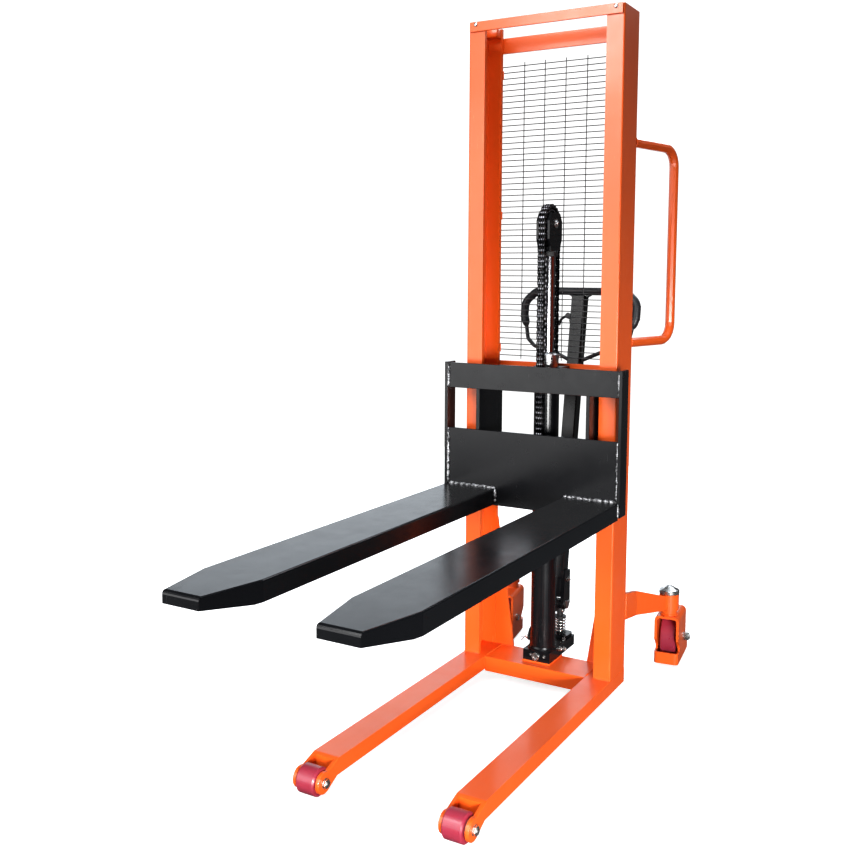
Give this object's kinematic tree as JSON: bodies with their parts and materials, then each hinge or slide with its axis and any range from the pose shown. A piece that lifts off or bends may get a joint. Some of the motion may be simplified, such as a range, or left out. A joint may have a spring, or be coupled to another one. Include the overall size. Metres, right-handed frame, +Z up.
{
  "type": "manual hydraulic hand stacker",
  "caption": "Manual hydraulic hand stacker: channel mast, straddle legs with load rollers, chain-lifted carriage with channel forks, hand pump worked by a tiller, swivel casters.",
  "frame": {"origin": "centre of the outer box on the floor, midway between the fork tips and the rear casters", "axes": "+Z up, +X to the operator's right when facing the forks, -Y towards the fork tips"},
  "size_m": [0.6673, 1.8591, 1.986],
  "materials": {
    "orange_paint": "glossy orange powder coat",
    "black_paint": "satin black powder coat",
    "fork_paint": "semi-gloss black powder coat",
    "polyurethane": "smooth dark red polyurethane",
    "zinc_steel": "bright zinc plate",
    "chrome": "hard chrome, polished",
    "chain_steel": "oiled steel",
    "mesh_wire": "thin black coating",
    "grip_rubber": "matt black rubber",
    "spring_steel": "dull spring steel"
  },
  "bodies": {
    "root": {"base_crossmember": "orange_paint", "caster_arm_left": "orange_paint", "caster_arm_right": "orange_paint", "chain_rear": "chain_steel", "cylinder_clamp": "black_paint", "cylinder_tube": "black_paint", "gland_nut": "zinc_steel", "grab_handle": "orange_paint", "gusset_left": "orange_paint", "gusset_right": "orange_paint", "leg_left": "orange_paint", "leg_right": "orange_paint", "mast_channel_left": "orange_paint", "mast_channel_right": "orange_paint", "mesh_guard": "mesh_wire", "middle_crossmember": "orange_paint", "pump_block": "black_paint", "pump_body": "black_paint", "pump_bracket": "black_paint", "pump_pad": "orange_paint", "pump_spring": "spring_steel", "roller_axle_left": "zinc_steel", "roller_axle_right": "zinc_steel", "tiller_pin": "zinc_steel", "top_tie_front": "orange_paint", "top_tie_rear": "orange_paint"},
    "ram": {"ram_rod": "chrome", "pulley_clevis": "black_paint", "pulley_pin": "zinc_steel", "chain_wrap": "chain_steel"},
    "carriage": {"carriage_plate_upper": "black_paint", "carriage_plate_lower": "black_paint", "carriage_side_left": "black_paint", "carriage_side_right": "black_paint", "roller_bar_left": "black_paint", "roller_bar_right": "black_paint", "fork_left": "fork_paint", "fork_right": "fork_paint", "chain_anchor_front": "black_paint", "chain_front": "chain_steel"},
    "chain_wheel": {"chain_wheel": "black_paint"},
    "tiller": {"tiller_bar": "black_paint", "handle_loop": "grip_rubber"},
    "plunger": {"pump_plunger": "chrome"},
    "control_lever": {"control_lever": "black_paint"},
    "release_lever": {"release_lever": "black_paint"},
    "caster_left": {"caster_fork_left": "orange_paint", "kingpin_left": "zinc_steel", "caster_axle_left": "zinc_steel"},
    "caster_wheel_left": {"caster_wheel_left": "polyurethane"},
    "load_roller_left": {"load_roller_left": "polyurethane"},
    "carriage_roller_left_upper": {"carriage_roller_left_upper": "zinc_steel"},
    "carriage_roller_left_lower": {"carriage_roller_left_lower": "zinc_steel"},
    "caster_right": {"caster_fork_right": "orange_paint", "kingpin_right": "zinc_steel", "caster_axle_right": "zinc_steel"},
    "caster_wheel_right": {"caster_wheel_right": "polyurethane"},
    "load_roller_right": {"load_roller_right": "polyurethane"},
    "carriage_roller_right_upper": {"carriage_roller_right_upper": "zinc_steel"},
    "carriage_roller_right_lower": {"carriage_roller_right_lower": "zinc_steel"}
  },
  "joints": [
    {"name": "ram_lift", "type": "slide", "parent": "root", "child": "ram", "axis": [0, 0, 1], "range_m": [-0.263, 0.492], "deforming": ["chain_rear"]},
    {"name": "carriage_lift", "type": "slide", "parent": "ram", "child": "carriage", "axis": [0, 0, 1], "range_m": [-0.263, 0.492], "deforming": ["chain_front"]},
    {"name": "chain_wheel_turn", "type": "hinge", "parent": "ram", "child": "chain_wheel", "pos_m": [0, 0.40975, 1.397], "axis": [1, 0, 0], "range_deg": [-300, 560]},
    {"name": "tiller_pump", "type": "hinge", "parent": "root", "child": "tiller", "pos_m": [0, 0.51475, 0.222], "axis": [-1, 0, 0], "range_deg": [0, 60]},
    {"name": "plunger_stroke", "type": "slide", "parent": "root", "child": "plunger", "axis": [0, 0, -1], "range_m": [0, 0.0275], "deforming": ["pump_spring"]},
    {"name": "control_lever_squeeze", "type": "hinge", "parent": "tiller", "child": "control_lever", "pos_m": [-0.034, 0.65116, 1.11767], "axis": [0, 0.9886, -0.1506], "range_deg": [-18, 18], "stiffness_Nm_per_rad": 2},
    {"name": "release_lever_turn", "type": "hinge", "parent": "root", "child": "release_lever", "pos_m": [-0.058, 0.43975, 0.125], "axis": [1, 0, 0], "range_deg": [-18, 18]},
    {"name": "caster_swivel_left", "type": "hinge", "parent": "root", "child": "caster_left", "pos_m": [-0.282, 0.76775, 0.2], "axis": [0, 0, 1], "continuous": true},
    {"name": "caster_roll_left", "type": "hinge", "parent": "caster_left", "child": "caster_wheel_left", "pos_m": [-0.27158, 0.70866, 0.075], "axis": [-0.9848, -0.1736, 0], "continuous": true},
    {"name": "load_roller_turn_left", "type": "hinge", "parent": "root", "child": "load_roller_left", "pos_m": [-0.2, -0.49125, 0.035], "axis": [1, 0, 0], "continuous": true},
    {"name": "carriage_roller_turn_left_upper", "type": "hinge", "parent": "carriage", "child": "carriage_roller_left_upper", "pos_m": [-0.2055, 0.41075, 0.915], "axis": [1, 0, 0], "continuous": true},
    {"name": "carriage_roller_turn_left_lower", "type": "hinge", "parent": "carriage", "child": "carriage_roller_left_lower", "pos_m": [-0.2055, 0.41075, 0.66], "axis": [1, 0, 0], "continuous": true},
    {"name": "caster_swivel_right", "type": "hinge", "parent": "root", "child": "caster_right", "pos_m": [0.282, 0.76775, 0.2], "axis": [0, 0, 1], "continuous": true},
    {"name": "caster_roll_right", "type": "hinge", "parent": "caster_right", "child": "caster_wheel_right", "pos_m": [0.27469, 0.8273, 0.075], "axis": [0.9925, 0.1219, 0], "continuous": true},
    {"name": "load_roller_turn_right", "type": "hinge", "parent": "root", "child": "load_roller_right", "pos_m": [0.2, -0.49125, 0.035], "axis": [1, 0, 0], "continuous": true},
    {"name": "carriage_roller_turn_right_upper", "type": "hinge", "parent": "carriage", "child": "carriage_roller_right_upper", "pos_m": [0.2055, 0.41075, 0.915], "axis": [1, 0, 0], "continuous": true},
    {"name": "carriage_roller_turn_right_lower", "type": "hinge", "parent": "carriage", "child": "carriage_roller_right_lower", "pos_m": [0.2055, 0.41075, 0.66], "axis": [1, 0, 0], "continuous": true}
  ],
  "couplings": [
    {"joint": "carriage_lift", "follows": "ram_lift", "ratio": 1},
    {"joint": "chain_wheel_turn", "follows": "ram_lift", "rad_per_m": 19.79},
    {"joint": "plunger_stroke", "follows": "tiller_pump", "m_per_rad": 0.0262},
    {"joint": "release_lever_turn", "follows": "control_lever_squeeze", "ratio": 1}
  ]
}
